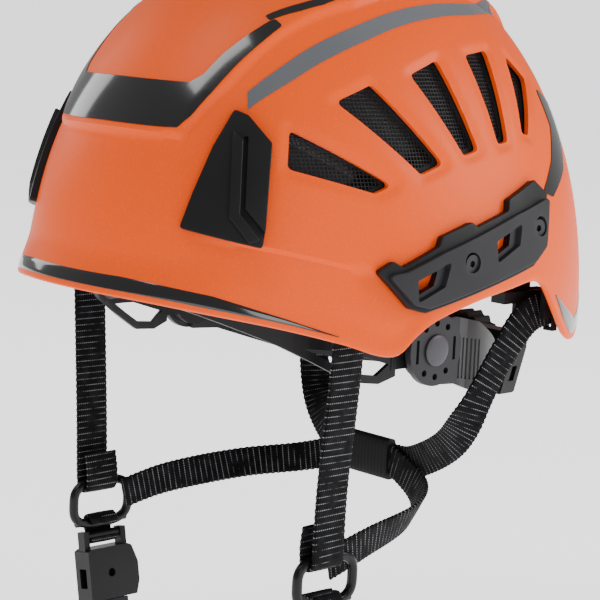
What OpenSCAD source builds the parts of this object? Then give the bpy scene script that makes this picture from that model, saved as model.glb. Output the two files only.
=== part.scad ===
// Climbing helmet. Frame: origin at the centre of the headband, +Z up, front towards -Y,
// the wearer's left towards +X. Millimetres.

/* [Shell] */
// Half width of the shell at its widest
half_w = 106; // [104:1:108]
// Reach of the shell ahead of its widest section
front_l = 138; // [136:1:140]
// Reach of the shell behind its widest section
rear_l = 125; // [123:1:127]
// Height of the crown above the headband's centre
crown_z = 160; // [158:1:164]
// Wall of the hard shell
wall = 3; // [2.5:0.1:3]
// Forward flare of the brim
brim_out = 5; // [3:1:6]

/* [Liner] */
// Thickness of the foam liner
foam_t = 14; // [12:1:15]
// Lower edge of the foam liner
foam_z = 34; // [33:1:38]

/* [Webbing] */
// Width of the straps
web_w = 17; // [16:0.5:18]
// Thickness of the straps
web_t = 1.4; // [1.2:0.1:1.4]
// Width of the chin strap
chin_w = 15; // [14:0.5:15]

/* [Headband] */
// Half width of the headband
band_a = 77.5; // [77:0.1:77.6]
// Reach of the headband to the brow
band_f = 99; // [97:1:101]
// Reach of the nape arms to the rear
band_r = 97.5; // [97:0.1:97.6]
// Thickness of the headband plastic
band_t = 2; // [1.8:0.1:2]

/* [Pivots] */
// Radius of the pivot disc above each ear
disc_r = 15.3; // [14.5:0.1:16]
// Radius of the cap in the middle of the disc
cap_r = 6.7; // [6:0.1:7]
// Radius of the pivot pin
pin_r = 3; // [2.5:0.1:3]

/* [Fit adjuster] */
// Radius of the size knob
knob_r = 17; // [15:0.5:18]
// Pitch radius of the drive pinion
pinion_r = 3.2; // [3.2]
// Teeth on the drive pinion
teeth = 8; // [8]

/* [Buckle] */
// Width of the buckle socket
sock_w = 25; // [24:0.5:26]
// Thickness of the buckle socket
sock_t = 11; // [10.5:0.5:12]
// Length of the buckle socket
sock_l = 32; // [32:0.5:34]

/* [Hidden] */
$fn = 48;
mid_y = 10;             // station of the widest section
n_up = 2.08;            // roundness of the shell from rim to crown
n_plan = 2.15;          // roundness of the shell in plan
cols = 64;              // facets round the shell
rows_z = [-22, 6, 14, 20, 26, 36, 48, 62, 77, 91, 104, 116, 127, 137, 145, 152, 157];
pivot_y = 2.5;
pivot_z = -9.5;
knob_z = -30;
knob_y = 106.2;         // rear face of the adjuster's cover
strap_x = 86;           // front strap where it leaves the shell
ring = [76, -50, -102]; // centre of the left strap divider
bar_dz = -9;            // lower bar of the divider, from its centre
tilt = 11;              // lean of the buckle, square to the swing of the chin strap
lean = [-sin(tilt), 0, cos(tilt)];
link_l = 6.5;           // from the divider's lower bar to the socket's bar
far_bar = [-ring[0], ring[1], ring[2] + bar_dz];
mouth = far_bar - lean * (link_l + sock_l - 2.2); // mouth of the buckle socket
black = [0.10, 0.10, 0.11];
grey = [0.20, 0.20, 0.21];
orange = [0.90, 0.36, 0.10];
pitch = 2 * PI * pinion_r / teeth;

// ---------- shared shapes ----------

function clamp01(v) = max(0, min(1, v));
function spow(v, e) = (v < 0 ? -1 : 1) * pow(abs(v), e);
// how far the section has closed in at height z
function close_in(z, g) = z <= 0 ? 1 : pow(max(0, 1 - pow(z / (crown_z + g), n_up)), 1 / n_up);
// outward flare of the brim, at the front only
function flare(a, z) = brim_out * clamp01((32 - z) / 18) * clamp01((-sin(a) - 0.5) / 0.4);
// a point of the shell's surface at plan angle a and height z, moved out by g
function dome(a, z, g) = let (k = close_in(z, g),
    b = (sin(a) < 0 ? front_l : rear_l) + g + flare(a, z))
    [(half_w + g) * k * spow(cos(a), 2 / n_plan), mid_y + b * k * spow(sin(a), 2 / n_plan), z];

// a smooth curve through a list of points
function curve(p, n = 4) = [for (i = [0 : len(p) - 2], s = [0 : n - 1])
    let (t = s / n, a = p[max(0, i - 1)], b = p[i], c = p[i + 1], d = p[min(len(p) - 1, i + 2)])
    0.5 * (2 * b + t * (c - a) + t * t * (2 * a - 5 * b + 4 * c - d)
        + t * t * t * (3 * b - a - 3 * c + d)),
    p[len(p) - 1]];

// evaluates its children as one faceted solid
module as_mesh() resize([0, 0, 0]) children();

// a closed skin of the shell's shape between the offsets g0 (inner) and g1 (outer)
module skin(g0, g1) {
    nz = len(rows_z);
    pts = concat(
        [for (g = [g1, g0], j = [0 : nz - 1], i = [0 : cols - 1]) dome(360 * i / cols, rows_z[j], g)],
        [[0, mid_y, crown_z + g1], [0, mid_y, crown_z + g0]]);
    top = 2 * nz * cols;
    faces = [
        for (s = [0, 1], j = [0 : nz - 2], i = [0 : cols - 1])
            let (o = s * nz * cols, k = (i + 1) % cols,
                a = o + j * cols + i, b = o + j * cols + k, c = b + cols, d = a + cols)
            each s == 0 ? [[a, d, c], [a, c, b]] : [[a, c, d], [a, b, c]],
        for (s = [0, 1], i = [0 : cols - 1])
            let (o = (s + 1) * nz * cols - cols, k = (i + 1) % cols)
            s == 0 ? [o + i, top, o + k] : [o + i, o + k, top + 1],
        for (i = [0 : cols - 1])
            let (k = (i + 1) % cols, o = nz * cols)
            each [[i, k, o + k], [i, o + k, o + i]]
    ];
    polyhedron(pts, faces);
}

module both_sides() {
    children();
    mirror([1, 0, 0]) children();
}
// a side-view outline, [y, z], made solid from x0 outwards
module side_view(x0 = 30, x1 = 140) {
    translate([x0, 0, 0]) rotate([90, 0, 90]) linear_extrude(x1 - x0) children();
}
// a top-view outline, [x, y], made solid above z0
module top_view(z0) {
    translate([0, 0, z0]) linear_extrude(200) children();
}
module rounded(r) {
    offset(r) offset(-r) children();
}

// a flat strip along a path: each station is [point, across, half width]
module ribbon(path, t = web_t) {
    n = len(path);
    pts = [for (i = [0 : n - 1])
        let (p = path[i][0],
            d = path[min(n - 1, i + 1)][0] - path[max(0, i - 1)][0],
            u = path[i][1] / norm(path[i][1]),
            m = cross(d / norm(d), u),
            v = m / norm(m) * t / 2,
            w = u * path[i][2])
        each [p - w - v, p + w - v, p + w + v, p - w + v]];
    faces = concat(
        [for (i = [0 : n - 2], k = [0 : 3])
            let (a = 4 * i + k, b = 4 * i + (k + 1) % 4)
            each [[a, b, b + 4], [a, b + 4, a + 4]]],
        [[3, 2, 1, 0], [4 * n - 4, 4 * n - 3, 4 * n - 2, 4 * n - 1]]);
    polyhedron(pts, faces);
}
// stations with the across direction blended along the path
function stations(pts, ups, w, n = 4) = let (p = curve(pts, n), u = curve(ups, n))
    [for (i = [0 : len(p) - 1]) [p[i], u[i], w / 2]];

// ---------- outlines, side view [y, z] ----------

rim_line = curve([[-150, 17], [-128, 15], [-107, 11], [-84, 6], [-62, 0], [-47, -5], [-38, -5],
    [-30, 2], [-20, 8], [0, 14], [22, 18], [38, 20], [47, 17], [58, 5], [70, -6], [82, -11],
    [93, -9], [106, -2], [122, 3], [150, 4]], 3);
vents = [
    [[-77, 68], [-73, 83], [-38, 62], [-46, 59]],
    [[-54, 94], [-37, 101], [-12, 70], [-24, 66]],
    [[-18, 105], [-1, 111], [9, 75], [0, 73]],
    [[17, 113], [33, 115], [29, 78], [22, 77]],
    [[48, 113], [60, 103], [46, 80], [41, 81]]
];
rail_line = [[-50, 29], [-43, 33], [-39, 30], [-22, 38], [-20, 42], [-4, 47], [-1, 45], [18, 50],
    [19, 55], [38, 62], [47, 56], [42, 33], [33, 27], [-29, 12], [-36, 14]];
screw_at = [[-7, 31], [36, 43]];
windows = [[[-33, 17.5], [-33, 25], [-19, 31], [-22, 22.5]], [[8, 31], [8, 38.5], [22, 44], [20, 36.5]]];

module vent_holes(grow = 0) {
    both_sides() for (v = vents) side_view(45) offset(grow, $fn = 20) rounded(2, $fn = 20) polygon(v);
}
module screw_holes(r) {
    both_sides() for (s = screw_at) side_view(85) translate(s) circle(r, $fn = 24);
}
module below_rim() {
    side_view(-140) polygon(concat(rim_line, [[150, -60], [-150, -60]]));
}

// ---------- shell and liner ----------

module outer_shell() {
    color(orange) as_mesh() difference() {
        skin(-wall, 0);
        below_rim();
        vent_holes();
        screw_holes(2.4);
    }
}

module foam_liner() {
    color([0.13, 0.13, 0.14]) as_mesh() difference() {
        skin(-4.4 - foam_t, -4.4);
        translate([0, 0, foam_z - 100]) cube([400, 400, 200], center = true);
        vent_holes(-1);
        screw_holes(5.5);
    }
}

module vent_mesh() {
    color(black) as_mesh() intersection() {
        skin(-4.1, -3.4);
        side_view(45) polygon([[-82, 64], [-78, 90], [-56, 101], [-18, 112], [14, 119], [34, 120],
            [54, 119], [67, 106], [48, 74], [0, 67], [-24, 60], [-44, 54]]);
    }
}
module vent_mesh_left() vent_mesh();
module vent_mesh_right() mirror([1, 0, 0]) vent_mesh();

// ---------- gloss trims, laid on the shell ----------

module trim() {
    color([0.03, 0.03, 0.035]) as_mesh() intersection() {
        skin(0.15, 0.75);
        children();
    }
}
module crown_trim() {
    trim() union() {
        both_sides() rotate([90, 0, 0]) linear_extrude(150) polygon([[-0.1, 81], [30, 80.6], [36, 80.8],
            [39.3, 85.7], [42.6, 96], [45, 107], [47, 115], [48.2, 121], [44.5, 123.6], [41.7, 117.3],
            [38.5, 109.6], [36.3, 101.1], [32.8, 97.8], [-0.1, 98.2]]);
        both_sides() top_view(70) polygon([[43.7, -63.7], [48.7, -52.2], [51.6, -43], [53, -32.6], [54.5, -10],
            [54, 15], [49, 46], [47, 45], [51.5, 15], [52, -10], [50.7, -32], [49.3, -42], [46.6, -50.4],
            [41.2, -64.2]]);
    }
}
module brim_trim() {
    trim() side_view(-140) polygon(concat(
        [for (q = rim_line) if (q[0] > -149 && q[0] < -66) [q[0], q[1] + 2.5]],
        [[-66, 4], [-84, 11], [-107, 18.5], [-150, 25]]));
}
module arc_trim() {
    trim() top_view(60) polygon(concat(
        curve([[55.5, -84], [63, -62], [67.5, -25], [63, 30], [50, 62]]),
        curve([[46, 60], [58.5, 30], [62.5, -25], [58, -62], [52.5, -82]])));
}
module arc_trim_left() arc_trim();
module arc_trim_right() mirror([1, 0, 0]) arc_trim();
module rear_trim() {
    trim() side_view(20) polygon([[67, 99], [84, 92], [88, 80], [76, 64], [58, 54], [49, 56.5],
        [62, 69], [71, 83]]);
}
module rear_trim_left() rear_trim();
module rear_trim_right() mirror([1, 0, 0]) rear_trim();
module nape_trim() {
    trim() side_view(-140) polygon([[56, 15], [61, 15], [80, 2], [93, 3], [122, 14], [150, 16],
        [150, 9], [122, 7.5], [96, -3], [80, -7], [74, -5]]);
}

// ---------- lamp clips and accessory rails ----------

// an outline square to the front corner, [across, z], cut into the shell's skin
module corner_view() {
    rotate([0, 0, 47]) rotate([90, 0, 0]) linear_extrude(200) children();
}
module lamp_clip() {
    color(black) as_mesh() union() {
        intersection() {
            skin(0.3, 3);
            corner_view() difference() {
                rounded(1) polygon([[-28, 89], [-23, 87], [-13.5, 77], [-15, 42], [-16, 37],
                    [-47, 43], [-42, 60], [-35, 76]]);
                polygon([[-24.4, 79], [-22.4, 79], [-22.4, 52], [-15, 42.5], [-15, 39],
                    [-24.4, 50]]);
            }
        }
        intersection() {
            skin(2.8, 6);
            corner_view() polygon([[-28, 80], [-24.4, 77], [-24.4, 50], [-17, 40.5],
                [-21, 39.5], [-28, 49]]);
        }
    }
}
module lamp_clip_left() lamp_clip();
module lamp_clip_right() mirror([1, 0, 0]) lamp_clip();

module rear_lamp_clip() {
    color(black) as_mesh() union() {
        intersection() {
            skin(0.3, 3);
            translate([-11, 80, 56]) cube([22, 80, 34]);
        }
        intersection() {
            skin(2.8, 8);
            translate([-11, 80, 56]) cube([22, 80, 7]);
        }
        intersection() {
            skin(6.5, 8);
            translate([-11, 80, 60]) cube([22, 80, 22]);
        }
    }
}

module accessory_rail() {
    color(grey) as_mesh() difference() {
        union() {
            intersection() {
                skin(0.3, 3.2);
                side_view(80) rounded(1.5) polygon(rail_line);
            }
            intersection() {
                skin(3, 5.8);
                side_view(80) offset(delta = -1.6) polygon([[-48, 27], [-39, 29], [42, 55],
                    [44, 54], [41, 33], [33, 27], [-29, 12], [-36, 14]]);
            }
        }
        for (w = windows) side_view(80) polygon(w);
        for (s = screw_at) side_view(80) translate(s) circle(2.4, $fn = 24);
        for (s = screw_at) side_view(screw_x(s) + 1.9) translate(s) circle(4.2, $fn = 32);
    }
}
module accessory_rail_left() accessory_rail();
module accessory_rail_right() mirror([1, 0, 0]) accessory_rail();

// the shell's surface at a side-view station [y, z]
function screw_x(s) = half_w * pow(pow(close_in(s[1], 0), n_plan)
    - pow(abs(s[0] - mid_y) / (s[0] < mid_y ? front_l : rear_l), n_plan), 1 / n_plan);

module rail_screws() {
    color([0.08, 0.08, 0.08]) both_sides() for (s = screw_at)
        translate([screw_x(s), s[0], s[1]]) rotate([0, 90, 0]) difference() {
            union() {
                translate([0, 0, -5]) cylinder(r = 2, h = 8);
                translate([0, 0, 2.6]) cylinder(r = 3.8, h = 2.2);
            }
            translate([0, 0, 3.4]) cylinder(r = 1.5, h = 2, $fn = 6);
        }
}

// ---------- fixed harness hardware ----------

module strap_anchors() {
    color(black) both_sides() {
        translate([87, -61, 4]) cube([2.2, 17, 12]);
        translate([86.9, 62, 0]) cube([2.6, 7, 12]);
    }
}
module strap_keepers() {
    color(black) both_sides() translate([84.6, 73, 4]) rotate([0, 0, 8]) difference() {
        translate([0, -0.85, 0]) cube([5, 3.3, 21], center = true);
        cube([2.8, 6, 18.4], center = true);
    }
}
module hanger_guides() {
    color(black) both_sides() difference() {
        translate([71.6, 47, 6]) cube([7.8, 30, 5]);
        translate([74.2, 49.5, 5]) cube([3.4, 25, 7]);
    }
}

// plan arc of the headband: half ring between two angles
module band_plan(a, b, t, a0, a1, n = 40) {
    polygon(concat(
        [for (i = [0 : n]) let (q = a0 + (a1 - a0) * i / n) [a * cos(q), b * sin(q)]],
        [for (i = [n : -1 : 0]) let (q = a0 + (a1 - a0) * i / n) [(a - t) * cos(q), (b - t) * sin(q)]]));
}

module headband_front() {
    color(black) difference() {
        union() {
            intersection() {
                translate([0, 0, -60]) linear_extrude(120)
                    band_plan(band_a, band_f, band_t, 189, 351);
                side_view(-100, 100) polygon([[-10, 1], [-10, -18], [-24, -22.5], [-37, -21],
                    [-64, -6], [-102, 12], [-102, 34], [-64, 20], [-30, 6]]);
            }
            both_sides() translate([band_a - 3, pivot_y, pivot_z]) rotate([0, 90, 0])
                cylinder(r = 13, h = 2);
            both_sides() translate([band_a - 3, -18, -17]) cube([2, 10, 16]);
        }
        side_view(-100, 100) polygon([[-19, -14.5], [-25, -19], [-36, -17.6], [-56, -6.5], [-40, -8]]);
        side_view(-100, 100) polygon([[-19, -9.5], [-40, -4], [-60, 4], [-60, 9], [-40, 4], [-19, -4]]);
        both_sides() translate([band_a - 10, pivot_y, pivot_z]) rotate([0, 90, 0])
            cylinder(r = pin_r + 0.06, h = 20);
    }
}

module brow_pad() {
    color(black) intersection() {
        translate([0, 0, -60]) linear_extrude(120)
            band_plan(band_a - band_t - 0.4, band_f - band_t - 0.4, 5, 212, 328);
        side_view(-100, 100) polygon([[-38, -6], [-38, 7], [-64, 19], [-102, 33], [-102, 13], [-64, -3]]);
    }
}

module crown_pad() {
    color(black) as_mesh() intersection() {
        skin(-24.8 - foam_t + 10, -4.8 - foam_t);
        top_view(60) translate([0, mid_y - 5]) scale([1, 1.5]) circle(34);
    }
}

module pivot_disc() {
    color(grey) difference() {
        translate([band_a + 1.7, pivot_y, pivot_z]) rotate([0, 90, 0]) cylinder(r = disc_r, h = 3);
        translate([0, pivot_y, pivot_z]) {
            for (s = [-1, 1], a = [-35, 0, 35]) rotate([s * a, 0, 0])
                translate([band_a, 0, s * 11.4]) rotate([0, 90, 0]) cylinder(r = 1.4, h = 8);
            translate([band_a, 0, 0]) rotate([0, 90, 0]) cylinder(r = pin_r + 0.06, h = 8);
            for (s = [-1, 1]) translate([band_a, s * 11 - 0.8, -5]) cube([8, 1.6, 10]);
        }
    }
}
module pivot_disc_left() pivot_disc();
module pivot_disc_right() mirror([1, 0, 0]) pivot_disc();

module pivot_pins() {
    color(grey) both_sides() translate([0, pivot_y, pivot_z]) {
        translate([band_a - 4.4, 0, 0]) rotate([0, 90, 0]) cylinder(r = pin_r, h = 9.4);
        translate([band_a - 4.6, 0, 0]) rotate([0, 90, 0]) cylinder(r = 5, h = 1.4);
        translate([band_a + 4.8, 0, 0]) rotate([0, 90, 0]) cylinder(r = cap_r, h = 1.3);
    }
}

// ---------- straps ----------

// half turn round a bar along Y, radius r, from the outer face to the inner face
function wrap(c, r) = [for (a = [0 : -30 : -180]) c + r * [cos(a), 0, sin(a)]];

module front_strap() {
    top = ring + [0, 0, 10];
    p = concat([[strap_x, -52.5, 14], [strap_x, -52.5, 2], [strap_x - 1.5, -52.5, -20],
        [strap_x - 5, -53, -60], top + [4, -2.8, 6]],
        wrap(top + [0, -2.5, 0], 3.8), [top + [-3.8, -2.7, 6], top + [-2.4, -2.9, 14]]);
    color(black) ribbon([for (q = p) [q, [0, 1, 0], web_w / 2]]);
}
module front_strap_left() front_strap();
module front_strap_right() mirror([1, 0, 0]) front_strap();

// the left one runs forward from its keeper, the right one hangs further back
module rear_strap_left() {
    color(black) ribbon(stations(
        [[85.2, 77, 5], [84.6, 73, 4], [84, 57, 0], [81, 44, -18], [76, 34, -40], [57, 41, -60],
            [28, 50, -75], [13, 51.1, -77], [3, 51.1, -77]],
        [[0, 0, 1], [0, 0, 1], [-0.2, -0.6, 1], [-0.1, -1, 0.9], [-0.2, -0.9, 0.6], [-0.7, -0.5, 0.8],
            [-0.3, -0.1, 1], [0, 0, 1], [0, 0, 1]],
        web_w - 2));
}
module rear_strap_right() {
    color(black) ribbon(stations(
        [[-85.4, 61, 5], [-84.6, 73, 4], [-83.7, 78.5, 1.5], [-80.5, 82.5, -12], [-77.5, 82.5, -36],
            [-69, 77.5, -55], [-54, 68.5, -68], [-34, 57.5, -75], [-13, 51.1, -77], [-3, 51.1, -77]],
        [[0, 0, 1], [0, 0, 1], [0, 0.6, 1], [0.35, 1, 0.1], [0.35, 1, 0.1],
            [0.5, 1, 0.3], [0.3, 0.6, 0.8], [0.2, 0.2, 1], [0, 0, 1], [0, 0, 1]],
        web_w - 2));
}

module lower_strap() {
    color(black) ribbon(stations(
        [[3, 49, -77], [9, 49, -77], [15, 49, -77.4], [39, 42, -85], [58, 18, -89], [67, -18, -93],
            [69.5, -42, -98]],
        [[0, 0, 1], [0, 0, 1], [0, 0, 1], [0.5, 0.2, 1], [0.4, 0.2, 1], [0.1, 0.1, 1], [0, 0.1, 1]],
        web_w - 3));
}
module lower_strap_left() lower_strap();
module lower_strap_right() mirror([1, 0, 0]) lower_strap();

module nape_keeper() {
    color(black) difference() {
        translate([-13, 46.6, -87]) cube([26, 6.8, 20]);
        translate([-14, 48, -85.6]) cube([28, 4, 17.2]);
    }
}

// ---------- divider and buckle ----------

module strap_divider() {
    color(black) translate(ring) difference() {
        union() {
            translate([-2, 0, 0]) rotate([90, 0, 90]) linear_extrude(4) difference() {
                rounded_box(36, 24, 9);
                translate([0, 1]) rounded_box(27, 14, 4);
            }
            translate([0, 0, bar_dz]) rotate([90, 0, 0]) cylinder(r = 2, h = 28, center = true);
        }
        translate([0, 0, bar_dz]) difference() {
            cube([8, 20, 9], center = true);
            rotate([90, 0, 0]) cylinder(r = 2, h = 30, center = true);
        }
    }
}
module rounded_box(w, h, r) {
    hull() for (x = [-1, 1], y = [-1, 1]) translate([x * (w / 2 - r), y * (h / 2 - r)]) circle(r);
}
module strap_divider_left() strap_divider();
module strap_divider_right() mirror([1, 0, 0]) strap_divider();

// the buckle's own frame: mouth of the socket at the origin, socket upwards
module at_buckle() {
    translate(mouth) rotate([0, -tilt, 0]) children();
}

module buckle_link() {
    low = far_bar - lean * link_l;
    color(black) difference() {
        hull() for (c = [far_bar, low]) translate(c) rotate([90, 0, 0])
            cylinder(r = 3.8, h = chin_w, center = true);
        hull() for (c = [far_bar, low]) translate(c) rotate([90, 0, 0])
            cylinder(r = 2.4, h = chin_w + 2, center = true);
    }
}

module buckle_socket() {
    color(black) at_buckle() difference() {
        union() {
            translate([-sock_t / 2, 0, 0]) rotate([90, 0, 90]) linear_extrude(sock_t)
                polygon([[-sock_w / 2, 0], [sock_w / 2 + 1, 0], [sock_w / 2 + 3, 6], [sock_w / 2 + 3, 15],
                    [sock_w / 2, 23], [sock_w / 2 - 2, sock_l - 8], [-sock_w / 2 + 2, sock_l - 8],
                    [-sock_w / 2, 23]]);
            for (s = [-1, 1]) translate([-2.5, s * 10.5 - 1.5, sock_l - 9]) cube([5, 3, 9]);
            translate([0, 0, sock_l - 2.2]) rotate([90, 0, 0]) cylinder(r = 1.9, h = 22, center = true);
        }
        translate([-3.1, -9.6, -1]) cube([6.2, 19.2, 22]);
        for (s = [-1, 1]) translate([-2.5, s * 14 - 5, 6]) cube([5, 10, 9]);
        rotate([0, 90, 0]) translate([-12, 0, -10]) cylinder(r = 2, h = 20);
    }
}

module buckle_plug() {
    color(black) at_buckle() difference() {
        union() {
            translate([-4, -9, -11]) cube([8, 18, 10.4]);
            translate([-2.2, -2, -2]) cube([4.4, 4, 19]);
            for (s = [-1, 1]) translate([-4, s * 9.1 - 1.3, -17]) cube([8, 2.6, 10]);
            translate([0, 0, -15.2]) rotate([90, 0, 0]) cylinder(r = 1.8, h = 20, center = true);
        }
        for (s = [-1, 1]) translate([-2.6, s * 6.5 - 2, -5]) cube([5.2, 4.6, 6]);
    }
}
module latch_prong(s) {
    color(grey) at_buckle() {
        translate([-2.2, s * 6.9 - 1.2, -4.4]) cube([4.4, 2.4, 22]);
    }
}
module latch_prong_left() latch_prong(1);
module latch_prong_right() latch_prong(-1);

module chin_strap() {
    bar = ring + [0, 0, bar_dz];
    low = mouth - lean * 15.2;
    p = concat(
        [[39, -57, -137], [56, -53.5, -121], bar + [-5.6, 0, 2.4]],
        [for (a = [140 : -30 : -40]) bar + 3.3 * [cos(a), 0, sin(a)]],
        curve([bar + [0.8, 0, -6], [62, -54, -128], [41.5, -57.5, -147], [16, -61, -167], [-10, -61, -176],
            [-34, -58, -177], [-52, -53, -172.5], low + [4.4, 0, -5.5]], 3),
        [for (a = [-30 : -30 : -210]) low + 3.2 * [cos(a), 0, sin(a)]]);
    color(black) ribbon([for (q = p) [q, [0, 1, 0], chin_w / 2]], 1.1);
}
module chin_adjuster() {
    color(black) translate([-46, -54.9, -174.6]) rotate([0, 12, 0]) difference() {
        cube([9, 23, 6.5], center = true);
        cube([10, 18.4, 3.6], center = true);
    }
}
module strap_tail_keeper() {
    color(black) translate([40.2, -57.2, -142.5]) rotate([0, -43, 0]) difference() {
        cube([5, 19, 14], center = true);
        cube([6, 16.2, 11.4], center = true);
    }
}

// ---------- nape cradle and size adjuster ----------

module nape_arm() {
    color(black) difference() {
        union() {
            intersection() {
                union() {
                    translate([0, 0, -70]) linear_extrude(90)
                        band_plan(band_a + 1.4, band_r, band_t, 15, 77);
                    translate([0, 0, -70]) linear_extrude(90) polygon([
                        [band_a - 0.8, pivot_y], [band_a + 1.4, pivot_y], [band_a + 1.4, 20],
                        [band_a - 2.2, 29], [band_a - 4, 29], [band_a - 0.8, 20]]);
                }
                side_view(10) polygon([[pivot_y, 2], [18, 3], [40, -2], [70, -16], [100, -18],
                    [100, -42], [74, -42], [48, -36], [18, -26], [pivot_y, -25]]);
            }
            translate([band_a - 0.8, pivot_y, pivot_z]) rotate([0, 90, 0]) cylinder(r = 13, h = 2.2);
        }
        translate([band_a - 5, pivot_y, pivot_z]) rotate([0, 90, 0])
            cylinder(r = pin_r + 0.06, h = 10);
        for (y = [20 : 4 : 40]) side_view(40) translate([y, -24 - (y - 20) * 0.2]) square([1.8, 18]);
    }
}
module nape_arm_left() nape_arm();
module nape_arm_right() mirror([1, 0, 0]) nape_arm();

module nape_hanger() {
    color(black) difference() {
        union() {
            translate([74.8, 57.5, -14]) cube([2, 9, 30]);
            hull() {
                translate([74.8, 57.5, -15]) cube([2, 9, 1.5]);
                translate([69, 57.5, -36]) cube([2, 9, 1.5]);
            }
            translate([67.4, 57.5, -36.5]) cube([3, 9, 5]);
            translate([76.6, 59.5, -13]) cube([2, 5, 3]);
            translate([76.6, 59.5, -8]) cube([2, 5, 3]);
        }
        translate([60, 60.2, -30.5]) cube([20, 3.6, 7]);
    }
}
module nape_hanger_left() nape_hanger();
module nape_hanger_right() mirror([1, 0, 0]) nape_hanger();

module adjuster_housing() {
    color(black) difference() {
        translate([-38, 98, knob_z - 13]) cube([76, 6, 26]);
        translate([-36, 99.6, knob_z - 10]) cube([72, 5, 20]);
    }
}
module adjuster_cover() {
    color(black) difference() {
        translate([0, 104.2, knob_z]) rotate([-90, 0, 0]) linear_extrude(knob_y - 104.2)
            rounded_box(76, 26, 6);
        translate([0, 100, knob_z]) rotate([-90, 0, 0]) cylinder(r = 3.06, h = 10);
    }
}
module nape_pad() {
    color(black) intersection() {
        translate([0, 0, -60]) linear_extrude(60)
            band_plan(band_a - 1, band_r - band_t - 0.4, 5, 62, 118);
        side_view(-60, 60) polygon([[60, -20], [100, -20], [100, -41], [60, -39]]);
    }
}

module size_knob() {
    color(black) translate([0, knob_y + 0.5, knob_z]) rotate([-90, 0, 0]) difference() {
        linear_extrude(11) polygon([for (a = [0 : 2.5 : 357.5])
            (knob_r - 0.8 + 0.8 * cos(18 * a)) * [cos(a), sin(a)]]);
        translate([0, 0, 8]) cylinder(r = knob_r - 6, h = 4);
        translate([0, 0, -1]) cylinder(r = 1.6, h = 12);
    }
}
module drive_pinion() {
    color(grey) translate([0, 100, knob_z]) rotate([-90, 0, 0]) {
        difference() {
            union() {
                cylinder(r = 2.3, h = 3.2);
                translate([0, 0, 3.2]) cylinder(r = 3, h = knob_y + 0.3 - 103.2);
                for (i = [0 : teeth - 1]) rotate([0, 0, 360 / teeth * i]) linear_extrude(3.2)
                    polygon([[-0.6, 2], [-0.6, 2.4], [-0.28, pinion_r + 0.6], [0.28, pinion_r + 0.6],
                        [0.6, 2.4], [0.6, 2]]);
            }
            translate([0, 0, 1]) cylinder(r = 1.3, h = 20);
        }
    }
}
module knob_screw() {
    color([0.6, 0.6, 0.62]) translate([0, 0, knob_z]) rotate([-90, 0, 0]) {
        translate([0, 0, 101.4]) cylinder(r = 1.2, h = 14);
        translate([0, 0, 114.8]) cylinder(r = 3, h = 1.8);
    }
}
// toothed rack above the pinion, reaching towards +X
module rack() {
    color(grey) translate([0, 100.2, knob_z]) {
        translate([-6, 0, pinion_r + 0.95]) cube([41, 2.8, 3]);
        for (i = [-2 : 13]) translate([(i + 0.5) * pitch, 2.8, pinion_r]) rotate([90, 0, 0])
            linear_extrude(2.8) polygon([[-0.6, 1], [-0.26, -0.6], [0.26, -0.6], [0.6, 1]]);
    }
}
module rack_left() rack();
module rack_right() translate([0, 0, 2 * knob_z]) rotate([0, 180, 0]) rack();

outer_shell();
foam_liner();
vent_mesh_left();
vent_mesh_right();
crown_trim();
brim_trim();
arc_trim_left();
arc_trim_right();
rear_trim_left();
rear_trim_right();
nape_trim();
lamp_clip_left();
lamp_clip_right();
rear_lamp_clip();
accessory_rail_left();
accessory_rail_right();
rail_screws();
strap_anchors();
strap_keepers();
hanger_guides();
headband_front();
brow_pad();
crown_pad();
pivot_disc_left();
pivot_disc_right();
pivot_pins();
front_strap_left();
front_strap_right();
rear_strap_left();
rear_strap_right();
lower_strap_left();
lower_strap_right();
nape_keeper();
strap_divider_left();
strap_divider_right();
buckle_link();
buckle_socket();
nape_arm_left();
nape_arm_right();
nape_hanger_left();
nape_hanger_right();
adjuster_housing();
adjuster_cover();
nape_pad();
size_knob();
drive_pinion();
knob_screw();
rack_left();
rack_right();
chin_strap();
chin_adjuster();
strap_tail_keeper();
buckle_plug();
latch_prong_left();
latch_prong_right();
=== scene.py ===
"""Climbing helmet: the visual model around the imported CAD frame. Metres, +Z up, front towards -Y."""

import math

import bmesh
import bpy
import numpy as np
from mathutils import Matrix, Vector


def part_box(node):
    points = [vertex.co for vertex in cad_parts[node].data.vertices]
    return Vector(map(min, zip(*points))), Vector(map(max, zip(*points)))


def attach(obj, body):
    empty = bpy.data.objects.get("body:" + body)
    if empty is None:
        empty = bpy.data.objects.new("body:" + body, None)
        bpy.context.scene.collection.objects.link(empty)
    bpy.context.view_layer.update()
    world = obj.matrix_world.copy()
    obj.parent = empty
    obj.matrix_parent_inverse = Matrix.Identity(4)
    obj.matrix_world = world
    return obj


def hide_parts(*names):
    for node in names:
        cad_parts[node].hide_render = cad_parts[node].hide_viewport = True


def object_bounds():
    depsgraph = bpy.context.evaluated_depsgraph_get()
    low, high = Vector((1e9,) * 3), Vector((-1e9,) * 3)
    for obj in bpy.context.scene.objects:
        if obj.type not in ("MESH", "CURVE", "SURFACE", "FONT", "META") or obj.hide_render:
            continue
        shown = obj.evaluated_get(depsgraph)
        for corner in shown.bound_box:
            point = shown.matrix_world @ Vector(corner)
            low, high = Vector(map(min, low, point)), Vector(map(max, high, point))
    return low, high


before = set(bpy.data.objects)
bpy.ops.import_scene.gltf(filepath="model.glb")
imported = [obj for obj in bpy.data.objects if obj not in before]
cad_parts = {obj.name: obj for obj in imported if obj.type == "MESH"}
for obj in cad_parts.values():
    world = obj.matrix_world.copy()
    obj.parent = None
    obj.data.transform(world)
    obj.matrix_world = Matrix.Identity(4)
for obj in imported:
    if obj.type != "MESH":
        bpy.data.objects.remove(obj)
cad_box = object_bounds()
MM = 0.001

# ---------------------------------------------------------------- camera

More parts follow.
